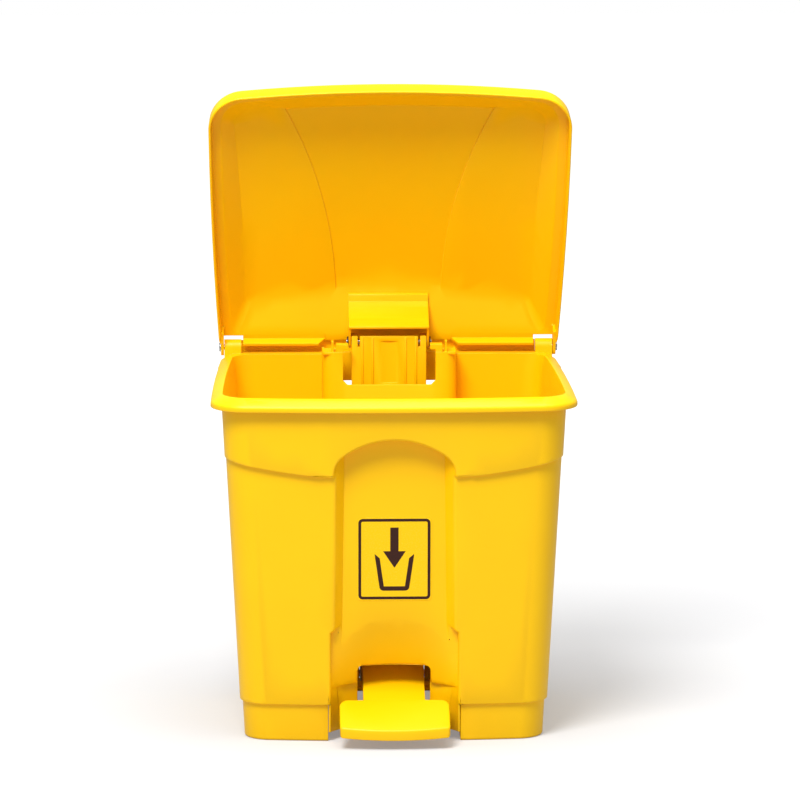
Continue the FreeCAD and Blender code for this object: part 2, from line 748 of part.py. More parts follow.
def opened(shape):
    """Turn a piece drawn with the lid closed to where it is with the lid open."""
    turned = shape.copy()
    turned.rotate(V(0, hinge_y, hinge_z), X_AXIS, -lid_open_angle)
    return turned


def link_pin_at(angle):
    """Centre of the link pin, as y and z, at this angle above the hinge axis."""
    return (hinge_y - link_radius * math.cos(math.radians(angle)),
            hinge_z + link_radius * math.sin(math.radians(angle)))


link_closed = link_pin_at(link_open_angle - lid_open_angle)
link_open = link_pin_at(link_open_angle)
rod_travel = link_open[1] - link_closed[1]


def hood_curve(offset):
    """Side view of the hood, or of its inside: an arc from the lid down to the hood's end."""
    end_y = hinge_y - hood_end_reach
    end_z = hinge_z - hood_end_drop
    points = [V(-bracket_half, end_y - hood_root, crown_top),
              V(-bracket_half, end_y - hood_root + hood_bulge, end_z + hood_bulge_height),
              V(-bracket_half, end_y, end_z)]
    circle = Part.Arc(*points).toShape().Curve
    scale = 1 + offset / circle.Radius
    return Part.Arc(*[circle.Center + (point - circle.Center) * scale for point in points])


def bracket_ear():
    """Side plate of the bracket with the eye for the link pin."""
    end_y = hinge_y - hood_end_reach
    end_z = hinge_z - hood_end_drop
    pin_y, pin_z = link_closed
    ear_inner = rod_head_half + bracket_gap
    plate = polygon([V(ear_inner, end_y - hood_root + bracket_wall, crown_top),
                     V(ear_inner, end_y + ear_lap, end_z + ear_shoulder),
                     V(ear_inner, end_y + ear_lap, end_z), V(ear_inner, pin_y, pin_z - ear_radius),
                     V(ear_inner, pin_y + ear_radius, pin_z),
                     V(ear_inner, pin_y + ear_radius, pin_z + ear_back),
                     V(ear_inner, bracket_screw_y, crown_top)])
    plate = plate.extrude(V(bracket_half - ear_inner, 0, 0))
    plate = plate.fuse(rod_x(ear_radius, ear_inner, bracket_half, pin_y, pin_z))
    return plate.cut(rod_x(pin_radius, ear_inner - OVER, bracket_half + OVER, pin_y, pin_z))


def lift_bracket():
    """Hooded bracket under the lid: curved cover, flange and two ears for the link pin."""
    outer, inner = hood_curve(0), hood_curve(bracket_wall)
    bottom = Part.LineSegment(outer.EndPoint, inner.EndPoint)
    top = Part.LineSegment(inner.StartPoint, outer.StartPoint)
    edges = [curve.toShape() for curve in (outer, bottom, inner, top)]
    hood = Part.Face(Part.Wire(Part.__sortEdges__(edges))).extrude(V(2 * bracket_half, 0, 0))
    flange = box(-bracket_half, bracket_half, hinge_y - hood_end_reach - flange_front,
                 bracket_screw_y + flange_back, crown_top - flange_drop, TALL)
    under_flange = lid_form(lid_wall + bracket_wall).fuse(box(-WIDE, WIDE, 0, WIDE, 0, lid_low))
    bracket = fuse_all([hood, both_sides(bracket_ear()), flange.cut(under_flange)])
    bracket = bracket.common(lid_form(lid_wall).fuse(box(-WIDE, WIDE, 0, WIDE, 0, lid_low)))
    return bracket.cut(bracket_screw_holes())


def pan_screw(point, direction, length):
    """Pan-head screw: head seated at the point, shank running along the direction."""
    top = point - direction * screw_head
    shank = Part.makeCylinder(screw_radius, length, point, direction)
    head = Part.makeCylinder(screw_head_radius, screw_head, top, direction)
    rim = edges_where(head, lambda edge: (edge.CenterOfMass - top).Length < 0.01)
    head = head.makeFillet(screw_head_round, rim)
    slot_length = 2 * (screw_head_radius - screw_head_round)
    slot = Part.makeBox(slot_length, screw_slot, screw_slot, V(-slot_length / 2, -screw_slot / 2, 0))
    slot.Placement = FreeCAD.Placement(top, FreeCAD.Rotation(Z_AXIS, direction))
    return head.fuse(shank).removeSplitter().cut(slot)


def bracket_screws():
    length = flange_thickness + screw_bite
    return Part.makeCompound([pan_screw(seat, rear_shoulder_normal, length)
                              for seat in bracket_screw_seats])


def push_clip(radius, x0, y, z):
    """Push-on ring for the end of a pin."""
    ring = rod_x(radius * 2, x0, x0 + clip_thickness, y, z)
    return ring.cut(rod_x(radius, x0 - OVER, x0 + clip_thickness + OVER, y, z))


# === push rod =================================================================================
def rod_head(low, top):
    """Head of the push rod: ribbed plate with a hollow up its middle and a slotted lug at each side."""
    pin_z = link_open[1]
    back = shank_front + rod_head_depth
    plate = box(-rod_head_half, rod_head_half, shank_front, shank_front + rod_plate, low, top)
    plate = plate.makeFillet(rod_corner, edges_where(plate, lambda edge: edge.BoundBox.YLength > OVER))
    lug_inner = rod_head_half - head_lug
    lug = box(lug_inner, rod_head_half, shank_front, back, pin_z - head_lug_drop, top)
    slot_front = hinge_y - link_radius - pin_radius - pin_slot_clearance
    slot = box(0, rod_head_half + OVER, slot_front, back + OVER,
               pin_z - pin_radius - pin_slot_lost, pin_z + pin_radius + pin_slot_clearance)
    rails = [box(x, x + head_rail_width, shank_front - head_rail_proud, shank_front + OVER / 2,
                 low + OVER, top - OVER) for x in (head_rail_outer, head_rail_inner)]
    gap = box(lug_inner - head_groove, lug_inner, shank_front - OVER, back,
              top - head_groove_depth, top + OVER)
    side = fuse_all([lug.cut(slot)] + rails)
    dish = Part.makeCylinder(dish_radius, TALL, V(0, shank_front - dish_radius + dish_depth, 0))
    dish = dish.common(box(-dish_half, dish_half, 0, WIDE, low + dish_end, top - dish_end))
    return fuse_all([plate, both_sides(side)]).cut(both_sides(gap)).cut(dish)


def push_rod():
    """Rod in one piece: head, channel-section shank and the fork over the pedal lever."""
    top = link_open[1] + pin_radius + pin_slot_clearance + rod_head_rise
    low = top - rod_head_height
    lower_y, lower_z = pedal_pin_at(pedal_pressed)
    shank_low, shank_top = lower_z + fork_rise, low + shank_lap
    shank_back = shank_front + shank_depth
    shank = box(-shank_half, shank_half, shank_front, shank_back, shank_low, shank_top)
    pocket = box(-shank_half + rod_plate, shank_half - rod_plate,
                 shank_front + rod_plate, shank_back + OVER,
                 shank_low + shank_lap, shank_top - rod_plate)
    cheek = box(fork_half - fork_wall, fork_half, shank_front + OVER / 2, lower_y + fork_reach,
                lower_z - fork_reach, shank_low + fork_wall)
    cheek = cheek.cut(rod_x(pin_radius, 0, WIDE, lower_y, lower_z))
    return fuse_all([rod_head(low, top), shank.cut(pocket), both_sides(cheek)])


def keeper_strap(strap_z):
    """Strap across the open back of the column that keeps the rod in its guides."""
    low, high = strap_z - strap_height / 2, strap_z + strap_height / 2
    face = rear_face(low)
    half = channel_half + wall + 2 * strap_screw_inset
    strap = box(-half, half, face, face + strap_thickness, low, high)
    strap = strap.makeFillet(strap_corner, edges_where(strap, lambda edge: edge.BoundBox.YLength > OVER))
    pad = box(-shank_half, shank_half, shank_front + shank_depth + strap_pad_gap, face + OVER / 2,
              low + strap_pad_inset, high - strap_pad_inset)
    strap = strap.fuse(pad).removeSplitter().cut(body_back(strap_z))
    for x, z in strap_screw_points(strap_z):
        strap = strap.cut(Part.makeCylinder(screw_radius, WIDE, V(x, 0, z), Y_AXIS))
    return strap


def body_back(strap_z):
    """Drafted back of the body behind a strap, so that the strap lies flat on it."""
    low, high = strap_z - strap_height, strap_z + strap_height
    profile = [V(-WIDE, rear_face(low), low), V(-WIDE, rear_face(high), high),
               V(-WIDE, 0, high), V(-WIDE, 0, low)]
    left = polygon(profile).extrude(V(WIDE - channel_half, 0, 0))
    return both_sides(left)


def strap_screws(strap_z):
    face = rear_face(strap_z - strap_height / 2) + strap_thickness
    length = strap_thickness + wall + screw_past_wall
    return Part.makeCompound([pan_screw(V(x, face, z), V(0, -1, 0), length)
                              for x, z in strap_screw_points(strap_z)])


# === pedal lever ==============================================================================
pedal_swing = 2 * math.degrees(math.asin(rod_travel / 2 / lever_rear_reach))
pedal_pressed = pedal_swing / 2


def pedal_pin_at(angle):
    """Centre of the rod's lower pin, as y and z, with the rear arm raised by this angle."""
    return (axle_y + lever_rear_reach * math.cos(math.radians(angle)),
            axle_z + lever_rear_reach * math.sin(math.radians(angle)))


def side_profile(points, half):
    """Side view drawn as (y, z) points, made as wide as asked."""
    return polygon([V(-half, y, z) for y, z in points]).extrude(V(2 * half, 0, 0))


def tread_plan(inset):
    """Plan of the tread, or one inset from it: rounded corners and a bulging front edge."""
    half = pedal_half - inset
    plan = box(-half, half, pedal_front + inset, pedal_front + tread_length - inset, -OVER, channel_top)
    upright = edges_where(plan, lambda edge: edge.BoundBox.ZLength > channel_top)
    plan = plan.makeFillet(tread_corner - inset, upright)
    sweep = (pedal_half ** 2 + tread_bow ** 2) / (2 * tread_bow)
    return plan.common(Part.makeCylinder(sweep - inset, TALL, V(0, pedal_front + sweep, -OVER)))


def pedal_tread(front_z, back_z):
    """Sloping tread with a turned-down edge all round, open underneath."""
    back = pedal_front + tread_length
    lip = [(back, front_z - tread_lip), (pedal_front, front_z - tread_lip)]
    whole = side_profile([(pedal_front, front_z), (back, back_z)] + lip, pedal_half).common(tread_plan(0))
    under = side_profile([(pedal_front, front_z - arm_plate), (back, back_z - arm_plate)]
                         + [(y, z - OVER) for y, z in lip], pedal_half).common(tread_plan(tread_wall))
    lip_low_z = front_z - tread_lip
    ahead_of_slope = side_profile([(pedal_front, lip_low_z), (back, back_z - tread_lip),
                                   (back, lip_low_z - OVER), (pedal_front, lip_low_z - OVER)],
                                  pedal_half)
    return whole.cut(under).cut(ahead_of_slope)


def pedal_lever():
    """Lever in one piece: tread, arm through the slot, boss on the axle and tail in the rod's fork."""
    tread_back = pedal_front + tread_length
    tread_back_z = pedal_front_z + tread_length * tangent(tread_slope)
    boss_top = axle_z + boss_radius
    outline = [(tread_back - tread_wall, tread_back_z - tread_wall * tangent(tread_slope)),
               (slot_arm_y, slot_arm_z), (hump_y, hump_z), (axle_y, boss_top)]
    lower = [(y, z - arm_plate) for y, z in reversed(outline)]
    skirt_low = [(y, z - arm_plate - arm_skirt) for y, z in reversed(outline)]
    arm = side_profile(outline + lower, arm_half)
    skirts = side_profile(outline + skirt_low, arm_half).cut(
        side_profile(outline + skirt_low, arm_half - arm_plate))
    boss = rod_x(boss_radius, -arm_half, arm_half, axle_y, axle_z)
    pin_y, pin_z = pedal_pin_at(pedal_pressed)
    tail = side_profile([(axle_y, boss_top), (axle_y, axle_z - boss_radius), (pin_y, pin_z - boss_radius),
                         (pin_y, pin_z + boss_radius)], rear_half)
    tail = tail.fuse(rod_x(boss_radius, -rear_half, rear_half, pin_y, pin_z))
    gusset = polygon([V(-arm_half, axle_y, axle_z), V(arm_half, axle_y, axle_z),
                      V(rear_half, axle_y + gusset_reach, axle_z),
                      V(-rear_half, axle_y + gusset_reach, axle_z)])
    gusset = gusset.extrude(V(0, 0, arm_plate))
    lever = fuse_all([arm, skirts, pedal_tread(pedal_front_z, tread_back_z), boss, tail, gusset])
    lever = lever.cut(rod_x(axle_radius + bush_wall, -WIDE, WIDE, axle_y, axle_z))
    slack = lever_rear_reach * (1 - math.cos(math.radians(pedal_pressed)))
    slot_half_height = pin_radius + pin_slot_clearance
    ends = [rod_x(slot_half_height, -WIDE, WIDE, y, pin_z) for y in (pin_y - slack, pin_y)]
    slot = box(-WIDE, WIDE, pin_y - slack, pin_y, pin_z - slot_half_height, pin_z + slot_half_height)
    return lever.cut(fuse_all([slot] + ends))


def axle_bush(side):
    """Flanged plastic bush pressed into one end of the lever's boss."""
    outer = axle_radius + bush_wall
    barrel = rod_x(outer, arm_half - bush_length, arm_half, axle_y, axle_z)
    flange = rod_x(outer + 2 * bush_wall, arm_half, arm_half + bush_wall, axle_y, axle_z)
    bush = barrel.fuse(flange).removeSplitter()
    bush = bush.cut(rod_x(axle_radius + running_clearance, 0, WIDE, axle_y, axle_z))
    return bush if side > 0 else mirrored(bush)


def pin_with_chamfer(radius, half, y, z):
    pin = rod_x(radius, -half, half, y, z)
    return pin.makeChamfer(pin_chamfer, edges_where(pin, lambda edge: edge.BoundBox.XLength < 0.01))


def hinge_pin(side):
    """Headed steel pin through a lid cheek into a post."""
    outer = cheek_outer + hinge_pin_gap
    shank = rod_x(pin_radius, post_inner + hinge_pin_short, outer, hinge_y, hinge_z)
    head = rod_x(pin_radius + hinge_pin_shoulder, outer, outer + hinge_pin_head, hinge_y, hinge_z)
    rim = edges_where(head, lambda edge: edge.CenterOfMass.x > outer + hinge_pin_head - 0.1)
    pin = shank.fuse(head.makeFillet(hinge_pin_round, rim)).removeSplitter()
    return pin if side > 0 else mirrored(pin)


def label():
    """Sticker on the floor of the centre recess."""
    sheet = Part.makeBox(label_width, label_thickness, label_height,
                         V(-label_width / 2, -label_thickness, -label_height / 2))
    across = edges_where(sheet, lambda edge: edge.BoundBox.XLength < 0.01 and edge.BoundBox.ZLength < 0.01)
    sheet = sheet.makeFillet(label_corner, across)
    sheet.rotate(V(0, 0, 0), X_AXIS, draft_angle)
    sheet.translate(V(0, body_ring(label_centre_z)[0] + recess_depth, label_centre_z))
    return sheet


def save(name, shape):
    shape.exportStep(os.path.join("parts", name + ".step"))


os.makedirs("parts", exist_ok=True)
save("body_shell", body_shell())
save("label", label())
save("lid_shell", opened(lid_closed()))
save("lift_bracket", opened(lift_bracket()))
save("lift_bracket_screws", opened(bracket_screws()))
past_plate = clip_gap + clip_thickness + pin_past_clip
save("link_pin", pin_with_chamfer(pin_radius, bracket_half + past_plate, *link_open))
save("push_rod", push_rod())
rod_pin = pedal_pin_at(pedal_pressed)
save("rod_pin", pin_with_chamfer(pin_radius, fork_half + past_plate, *rod_pin))
save("pedal_lever", pedal_lever())
axle = (axle_y, axle_z)
saddle_outer = saddle_inner + saddle_thickness
save("pedal_axle", pin_with_chamfer(axle_radius, saddle_outer + past_plate, *axle))
clips = {
    "link_pin_clip": (pin_radius, bracket_half + clip_gap, link_open),
    "rod_pin_clip": (pin_radius, fork_half + clip_gap, rod_pin),
    "axle_clip": (axle_radius, saddle_outer + clip_gap, axle),
}
for side, side_name in ((-1, "left"), (1, "right")):
    for clip_name, (radius, start, centre) in clips.items():
        clip = push_clip(radius, start, *centre)
        save(clip_name + "_" + side_name, clip if side > 0 else mirrored(clip))
    save("hinge_pin_" + side_name, hinge_pin(side))
    save("axle_bush_" + side_name, axle_bush(side))
for strap_z, strap_name in zip(strap_heights, ("lower", "upper")):
    save("keeper_strap_" + strap_name, keeper_strap(strap_z))
    save("strap_screws_" + strap_name, strap_screws(strap_z))
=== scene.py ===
import json
import math

import bmesh
import bpy
from mathutils import Matrix, Vector

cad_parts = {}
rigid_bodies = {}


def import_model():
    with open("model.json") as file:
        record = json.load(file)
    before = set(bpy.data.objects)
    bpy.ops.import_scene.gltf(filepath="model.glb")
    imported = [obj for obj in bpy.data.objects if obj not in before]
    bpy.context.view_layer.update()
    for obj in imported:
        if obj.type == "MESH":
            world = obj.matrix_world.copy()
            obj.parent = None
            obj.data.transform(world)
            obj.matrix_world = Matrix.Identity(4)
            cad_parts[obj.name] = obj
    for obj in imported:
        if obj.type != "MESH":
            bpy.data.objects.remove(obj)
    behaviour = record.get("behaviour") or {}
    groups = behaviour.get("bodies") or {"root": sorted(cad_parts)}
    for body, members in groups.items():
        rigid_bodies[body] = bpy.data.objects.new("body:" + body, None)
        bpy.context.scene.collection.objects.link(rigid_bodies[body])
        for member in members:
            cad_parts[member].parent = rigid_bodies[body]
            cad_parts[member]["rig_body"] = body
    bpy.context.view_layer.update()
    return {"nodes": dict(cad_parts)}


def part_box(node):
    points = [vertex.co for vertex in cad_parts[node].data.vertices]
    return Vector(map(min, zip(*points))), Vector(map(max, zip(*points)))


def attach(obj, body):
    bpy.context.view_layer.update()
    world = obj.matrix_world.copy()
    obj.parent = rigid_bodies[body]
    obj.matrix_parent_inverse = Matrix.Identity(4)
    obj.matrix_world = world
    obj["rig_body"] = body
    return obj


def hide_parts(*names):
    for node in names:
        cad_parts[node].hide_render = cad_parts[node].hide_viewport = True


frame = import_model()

# === Bin body =================================================================================
# One injection moulding in yellow polypropylene: tapered walls, a turned-down lip, two hollow
# feet, an arched recess for the label and a column at the back for the push rod.  The tool
# leaves its outer corners rounded, most of all around the recess and along the lip.
MM = 0.001
WELD = 0.002 * MM                # only corners that all but coincide are joined
SHARP = math.radians(35)         # a corner that turns by more than this is rounded
SHORTEST = 1.0 * MM              # an edge shorter than this has no room for a rounding
CRISP_ABOVE = 389                # mm, like the places below; the rim's top edge is left crisp
LIP_BAND = (377, 386)            # heights of the lip's outer corners
LIP_BACK = 90                    # the lip's hinge side, further back, gets the lesser rounding
RECESS_HALF = 80
RECESS_HEIGHTS = (62, 346)
RECESS_FRONT = -100
LIP_ROUND = 2.2 * MM
RECESS_ROUND = 3.0 * MM
BODY_ROUND = 0.8 * MM
CLOUD = 60 * MM                  # faint flow clouds in the colour
SPARK = 1.6 * MM                 # spark-eroded texture is 0.1 mm; drawn as fine as it can show
SATIN_SPREAD = 0.05              # how far the roughness strays either way
SOFT_CORNER = 0.8 * MM           # softening, in the shading, of the corners still sharp


def linear(code):
    """Turn an sRGB hex colour to the linear colour that the shaders use."""
    parts = [int(code[i:i + 2], 16) / 255 for i in (0, 2, 4)]
    return [c / 12.92 if c <= 0.04045 else ((c + 0.055) / 1.055) ** 2.4 for c in parts] + [1.0]


def add_node(tree, kind, settings, sockets):
    """Add one node, set its settings, and give each socket its value or its link."""
    node = tree.nodes.new(kind)
    for name, value in settings.items():
        setattr(node, name, value)
    for name, value in sockets.items():
        if isinstance(value, bpy.types.NodeSocket):
            tree.links.new(value, node.inputs[name])
        else:
            node.inputs[name].default_value = value
    return node


def new_material(name):
    """An empty material, its tree, and Object coordinates for its patterns."""
    material = bpy.data.materials.new(name)
    material.use_nodes = True
    tree = material.node_tree
    tree.nodes.clear()
    place = add_node(tree, "ShaderNodeTexCoord", {}, {}).outputs["Object"]
    return material, tree, place


def satin_moulding(name, pale, deep, roughness):
    """Moulded plastic: faint flow clouds in the colour, a spark-eroded satin, softened corners."""
    material, tree, place = new_material(name)
    clouds = add_node(tree, "ShaderNodeTexNoise", {}, {
        "Vector": place, "Scale": 1 / CLOUD, "Detail": 3.0, "Roughness": 0.5})
    tint = add_node(tree, "ShaderNodeMix", {"data_type": "RGBA"}, {
        0: clouds.outputs["Fac"], 6: linear(deep), 7: linear(pale)})
    spark = add_node(tree, "ShaderNodeTexNoise", {}, {
        "Vector": place, "Scale": 1 / SPARK, "Detail": 2.0, "Roughness": 0.6})
    satin = add_node(tree, "ShaderNodeMapRange", {}, {
        "Value": spark.outputs["Fac"], "From Min": 0.3, "From Max": 0.7,
        "To Min": roughness - SATIN_SPREAD, "To Max": roughness + SATIN_SPREAD})
    soft_corner = add_node(tree, "ShaderNodeBevel", {"samples": 4}, {"Radius": SOFT_CORNER})
    grain = add_node(tree, "ShaderNodeBump", {}, {
        "Strength": 0.06, "Distance": 0.06 * MM, "Height": spark.outputs["Fac"],
        "Normal": soft_corner.outputs["Normal"]})
    surface = add_node(tree, "ShaderNodeBsdfPrincipled", {}, {
        "Base Color": tint.outputs[2], "Roughness": satin.outputs[0], "IOR": 1.49,
        "Specular IOR Level": 0.25, "Normal": grain.outputs["Normal"]})
    add_node(tree, "ShaderNodeOutputMaterial", {}, {"Surface": surface.outputs["BSDF"]})
    return material


def welded_copy(node, name):
    """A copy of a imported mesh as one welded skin, left in edit mode."""
    bpy.ops.object.select_all(action="DESELECT")
    piece = bpy.data.objects.new(name, frame["nodes"][node].data.copy())
    bpy.context.scene.collection.objects.link(piece)
    bpy.context.view_layer.objects.active = piece
    piece.select_set(True)
    bpy.ops.object.mode_set(mode="EDIT")
    bpy.ops.mesh.customdata_custom_splitnormals_clear()
    bpy.ops.mesh.select_all(action="SELECT")
    bpy.ops.mesh.remove_doubles(threshold=WELD)
    bpy.ops.mesh.select_mode(type="EDGE")
    return piece


def round_corners(piece, width, segments, chosen):
    """Round the outer corners whose middle, in millimetres, passes the test."""
    bpy.ops.mesh.select_all(action="DESELECT")
    skin = bmesh.from_edit_mesh(piece.data)
    skin.normal_update()
    for edge in skin.edges:
        folded = len(edge.link_faces) == 2 and edge.calc_face_angle(0) > SHARP
        if folded and edge.is_convex and edge.calc_length() > SHORTEST:
            edge.select = chosen((edge.verts[0].co + edge.verts[1].co) / 2 / MM)
    bmesh.update_edit_mesh(piece.data)
    bpy.ops.mesh.bevel(offset=width, segments=segments, affect="EDGES",
                       clamp_overlap=False, loop_slide=False)


def finish_piece(piece, node, material):
    """Smooth the skin, give it its material and put the piece on the CAD node's body."""
    bpy.ops.object.mode_set(mode="OBJECT")
    bpy.ops.object.shade_smooth_by_angle(angle=SHARP)
    piece.data.materials.clear()
    piece.data.materials.append(material)
    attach(piece, frame["nodes"][node]["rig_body"])
    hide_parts(node)


def at_recess(at):
    low, high = RECESS_HEIGHTS
    return at.y < RECESS_FRONT and abs(at.x) < RECESS_HALF and low < at.z < high


def at_lip(at):
    low, high = LIP_BAND
    return low < at.z < high and at.y < LIP_BACK


def at_the_rest(at):
    return not at_recess(at) and not at_lip(at) and at.z < CRISP_ABOVE


# Polypropylene off a spark-eroded tool: an even, saturated yellow with a soft satin shine.
yellow_plastic = satin_moulding("polypropylene_moulded_yellow", "FFCB00", "FFC500",
                                roughness=0.38)

body = welded_copy("body_shell", "bin_body")
round_corners(body, RECESS_ROUND, segments=4, chosen=at_recess)
round_corners(body, LIP_ROUND, segments=3, chosen=at_lip)
round_corners(body, BODY_ROUND, segments=2, chosen=at_the_rest)
finish_piece(body, "body_shell", yellow_plastic)

# === Label ====================================================================================
# A printed polypropylene sticker in the bin's own yellow, with rounded corners, stuck flat on
# the recess.  Its dark brown ink is a round-cornered frame about a bin with an arrow into it.
INK = 0.06 * MM                  # thickness of the screen-printed ink
LABEL_TILT = math.radians(3)     # the recess leans with the front wall's draft
LABEL_CORNER = 5.0 * MM
FRAME_INSET = 1.6 * MM           # clear edge outside the frame
FRAME_LINE = 3.2 * MM
STROKE = 5.0 * MM                # width of the line that draws the little bin
BIN_TOP_HALF = 22.0 * MM
BIN_FOOT_HALF = 16.0 * MM
BIN_CORNER = 4.0 * MM
BIN_LOW = -36.0 * MM
BIN_HIGH = 6.0 * MM
ARROW_HALF = 12.5 * MM
ARROW_STEM_HALF = 4.6 * MM
ARROW_TOP = 36.0 * MM
ARROW_SHOULDER = 9.0 * MM
ARROW_TIP = -10.0 * MM
INK_MOTTLE = 3 * MM

label = frame["nodes"]["label"]
label_low, label_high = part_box("label")
label_centre = (label_low + label_high) / 2
label_width = label_high.x - label_low.x
label_length = (label_high.z - label_low.z) / math.cos(LABEL_TILT)


def ink_mark(name):
    """A unit square in the label's own plane, x across it and y up it, in edit mode."""
    bpy.ops.object.select_all(action="DESELECT")
    bpy.ops.mesh.primitive_plane_add(size=1)
    mark = bpy.context.object
    mark.name = name
    bpy.ops.object.mode_set(mode="EDIT")
    bpy.ops.mesh.select_mode(type="VERT")
    bpy.ops.mesh.select_all(action="SELECT")
    return mark


def pick(mark, test):
    """Select the vertices that pass the test."""
    bpy.ops.mesh.select_all(action="DESELECT")
    skin = bmesh.from_edit_mesh(mark.data)
    for vertex in skin.verts:
        vertex.select = test(vertex.co)
    skin.select_flush_mode()
    bmesh.update_edit_mesh(mark.data)


def stretch(width, height, x=0.0, y=0.0):
    """Bring the selected unit square to its size and place."""
    bpy.ops.transform.resize(value=(width, height, 1))
    bpy.ops.transform.translate(value=(x, y, 0))


# The frame: a rounded square, inset, with its middle taken out.
frame_mark = ink_mark("label_frame_print")
stretch(label_width - 2 * FRAME_INSET, label_length - 2 * FRAME_INSET)
bpy.ops.mesh.bevel(offset=LABEL_CORNER, segments=8, affect="VERTICES")
bpy.ops.mesh.select_mode(type="FACE")
bpy.ops.mesh.select_all(action="SELECT")
bpy.ops.mesh.inset(thickness=FRAME_LINE)
bpy.ops.mesh.delete(type="FACE")
bpy.ops.object.mode_set(mode="OBJECT")

# The little bin: a tapered outline with rounded lower corners and its mouth left open.
bin_mark = ink_mark("label_bin_print")
stretch(2 * BIN_TOP_HALF, BIN_HIGH - BIN_LOW, y=(BIN_HIGH + BIN_LOW) / 2)
pick(bin_mark, lambda at: at.y < (BIN_HIGH + BIN_LOW) / 2)
bpy.ops.transform.resize(value=(BIN_FOOT_HALF / BIN_TOP_HALF, 1, 1))
bpy.ops.mesh.bevel(offset=BIN_CORNER, segments=6, affect="VERTICES")
bpy.ops.mesh.select_mode(type="FACE")
bpy.ops.mesh.select_all(action="SELECT")
bpy.ops.mesh.inset(thickness=STROKE)
bpy.ops.mesh.delete(type="FACE")
skin = bmesh.from_edit_mesh(bin_mark.data)
for face in skin.faces:
    face.select = face.calc_center_median().y > BIN_HIGH - STROKE
bmesh.update_edit_mesh(bin_mark.data)
bpy.ops.mesh.delete(type="FACE")
bpy.ops.object.mode_set(mode="OBJECT")

# The arrow: a stem, and a head whose two lower corners are brought together in a point.
arrow_mark = ink_mark("label_arrow_print")
stretch(2 * ARROW_STEM_HALF, ARROW_TOP - ARROW_SHOULDER, y=(ARROW_TOP + ARROW_SHOULDER) / 2)
bpy.ops.object.mode_set(mode="OBJECT")
head_mark = ink_mark("label_arrow_head")
stretch(2 * ARROW_HALF, ARROW_SHOULDER - ARROW_TIP, y=(ARROW_SHOULDER + ARROW_TIP) / 2)
pick(head_mark, lambda at: at.y < (ARROW_SHOULDER + ARROW_TIP) / 2)
bpy.ops.transform.resize(value=(0.0, 1, 1))
bpy.ops.mesh.remove_doubles(threshold=0.01 * MM)
bpy.ops.object.mode_set(mode="OBJECT")

# Dark brown screen ink: matt beside the film, a touch uneven where it lies thin.
ink, tree, place = new_material("screen_ink_dark_brown")
thin = add_node(tree, "ShaderNodeTexNoise", {}, {
    "Vector": place, "Scale": 1 / INK_MOTTLE, "Detail": 2.0})
shade = add_node(tree, "ShaderNodeMix", {"data_type": "RGBA"}, {
    0: thin.outputs["Fac"], 6: linear("2C0F04"), 7: linear("3E1806")})
ink_face = add_node(tree, "ShaderNodeBsdfPrincipled", {}, {
    "Base Color": shade.outputs[2], "Roughness": 0.5, "IOR": 1.5, "Specular IOR Level": 0.3})
add_node(tree, "ShaderNodeOutputMaterial", {}, {"Surface": ink_face.outputs["BSDF"]})

# The film is smoother than the moulding, so it shines a little more in the same yellow.
film = satin_moulding("polypropylene_film_yellow", "FFCD00", "FFC900", roughness=0.26)
label.material_slots[0].material = film

stand_up = Matrix.Rotation(math.radians(90) + LABEL_TILT, 4, "X")
face_out = stand_up.to_3x3() @ Vector((0, 0, 1))
label_face = max((Vector(v.co) - label_centre).dot(face_out) for v in label.data.vertices)
for mark in (frame_mark, bin_mark, arrow_mark, head_mark):
    bpy.ops.object.select_all(action="DESELECT")
    mark.select_set(True)
    bpy.context.view_layer.objects.active = mark
    thickness = mark.modifiers.new("ink", "SOLIDIFY")
    thickness.thickness = INK
    thickness.offset = 1
    bpy.ops.object.modifier_apply(modifier="ink")
    mark.matrix_world = Matrix.Translation(label_centre + face_out * label_face) @ stand_up
    bpy.ops.object.transform_apply(location=True, rotation=True, scale=True)
    mark.data.materials.append(ink)
    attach(mark, "bin")

# === Lid ======================================================================================
# A second yellow moulding: a shallow domed cover with a skirt all round, hinged by a cheek at
# each side on a steel pin.  Its inside has a slightly raised middle panel between two creases.
LID_ROUND = 1.2 * MM
CHEEK_TOP = 415                  # mm; the thin cheeks below this stay crisp
lid = welded_copy("lid_shell", "bin_lid")
round_corners(lid, LID_ROUND, segments=3, chosen=lambda at: at.z > CHEEK_TOP)
finish_piece(lid, "lid_shell", yellow_plastic)

# === Lift bracket =============================================================================
# A curved hood under the lid, moulded in the same yellow plastic and held by screws.  Its two
# ears hold the pin that the push rod lifts.
BRACKET_ROUND = 0.7 * MM
bracket = welded_copy("lift_bracket", "lid_bracket")
round_corners(bracket, BRACKET_ROUND, segments=2, chosen=lambda at: True)
finish_piece(bracket, "lift_bracket", yellow_plastic)

# === Push rod =================================================================================
# One yellow moulding: ribbed head, channel-section shank and a fork over the pedal's tail.
# Two yellow straps screwed across the column keep it in its guides.
ROD_ROUND = 0.6 * MM
STRAP_ROUND = 0.5 * MM
rod = welded_copy("push_rod", "lift_rod")
round_corners(rod, ROD_ROUND, segments=2, chosen=lambda at: True)
finish_piece(rod, "push_rod", yellow_plastic)
for height in ("lower", "upper"):
    strap = welded_copy("keeper_strap_" + height, "rod_strap_" + height)
    round_corners(strap, STRAP_ROUND, segments=2, chosen=lambda at: True)
    finish_piece(strap, "keeper_strap_" + height, yellow_plastic)

# === Pedal ====================================================================================
# A ribbed lever in the same yellow plastic, moulded in one with a broad tread that is softly
# rounded where the shoe presses it.  It rocks on a steel axle between the feet.
TREAD_BACK = -135                # mm; the tread is ahead of this and below the next
TREAD_HIGH = 40
TREAD_ROUND = 1.6 * MM
LEVER_ROUND = 0.8 * MM


def at_tread(at):
    return at.y < TREAD_BACK and at.z < TREAD_HIGH


